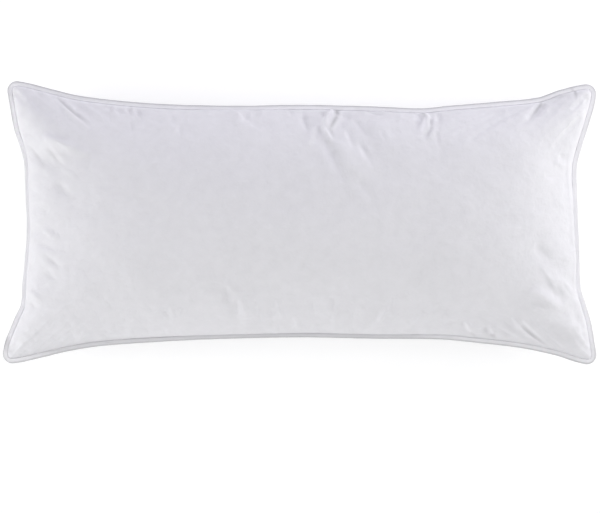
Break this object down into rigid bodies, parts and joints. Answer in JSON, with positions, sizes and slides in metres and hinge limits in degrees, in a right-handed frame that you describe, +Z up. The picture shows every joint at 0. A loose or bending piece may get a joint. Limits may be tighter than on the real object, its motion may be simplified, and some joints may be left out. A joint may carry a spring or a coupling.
{
  "type": "feather pillow",
  "caption": "Long rectangular feather pillow with a crowned filling, drawn-in puckered sides, pointed corner ears and corded piping in the seam all round.",
  "frame": {"origin": "on the flat resting face, under the middle of the pillow's outline seen from above", "axes": "+X along the pillow, +Y across it towards its upper long side, +Z up, out of its face"},
  "size_m": [0.7788, 0.3712, 0.1698],
  "materials": {
    "cover": "closely woven downproof cotton cambric, white, matt with a faint calendered sheen",
    "piping": "the same white cotton cut on the bias round a cord, matt"
  },
  "bodies": {
    "root": {"filled_cover": "cover", "piping": "piping"}
  },
  "joints": []
}
